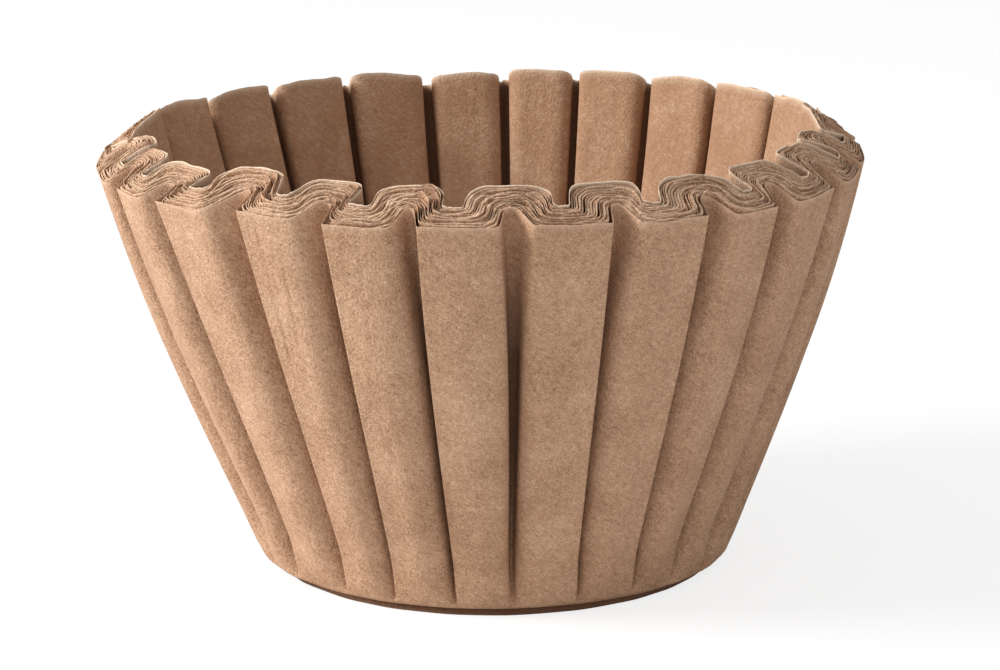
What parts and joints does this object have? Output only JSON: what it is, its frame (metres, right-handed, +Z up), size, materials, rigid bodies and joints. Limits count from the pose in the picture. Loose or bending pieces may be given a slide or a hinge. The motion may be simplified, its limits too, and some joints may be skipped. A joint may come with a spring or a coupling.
{
  "type": "nest of paper coffee filters",
  "caption": "Nest of fluted paper basket filters for a drip coffee maker, pressed together, with the outermost and innermost filters loose.",
  "frame": {"origin": "centre of the flat floor's underside, on the surface the nest rests on", "axes": "+Z up through the open top; the first outer pleat is 2.5 degrees from -Y"},
  "size_m": [0.1412, 0.1412, 0.0812],
  "materials": {
    "kraft_paper": "matt"
  },
  "bodies": {
    "root": {"outer_filter": "kraft_paper", "pressed_filters": "kraft_paper", "inner_filter": "kraft_paper"}
  },
  "joints": []
}
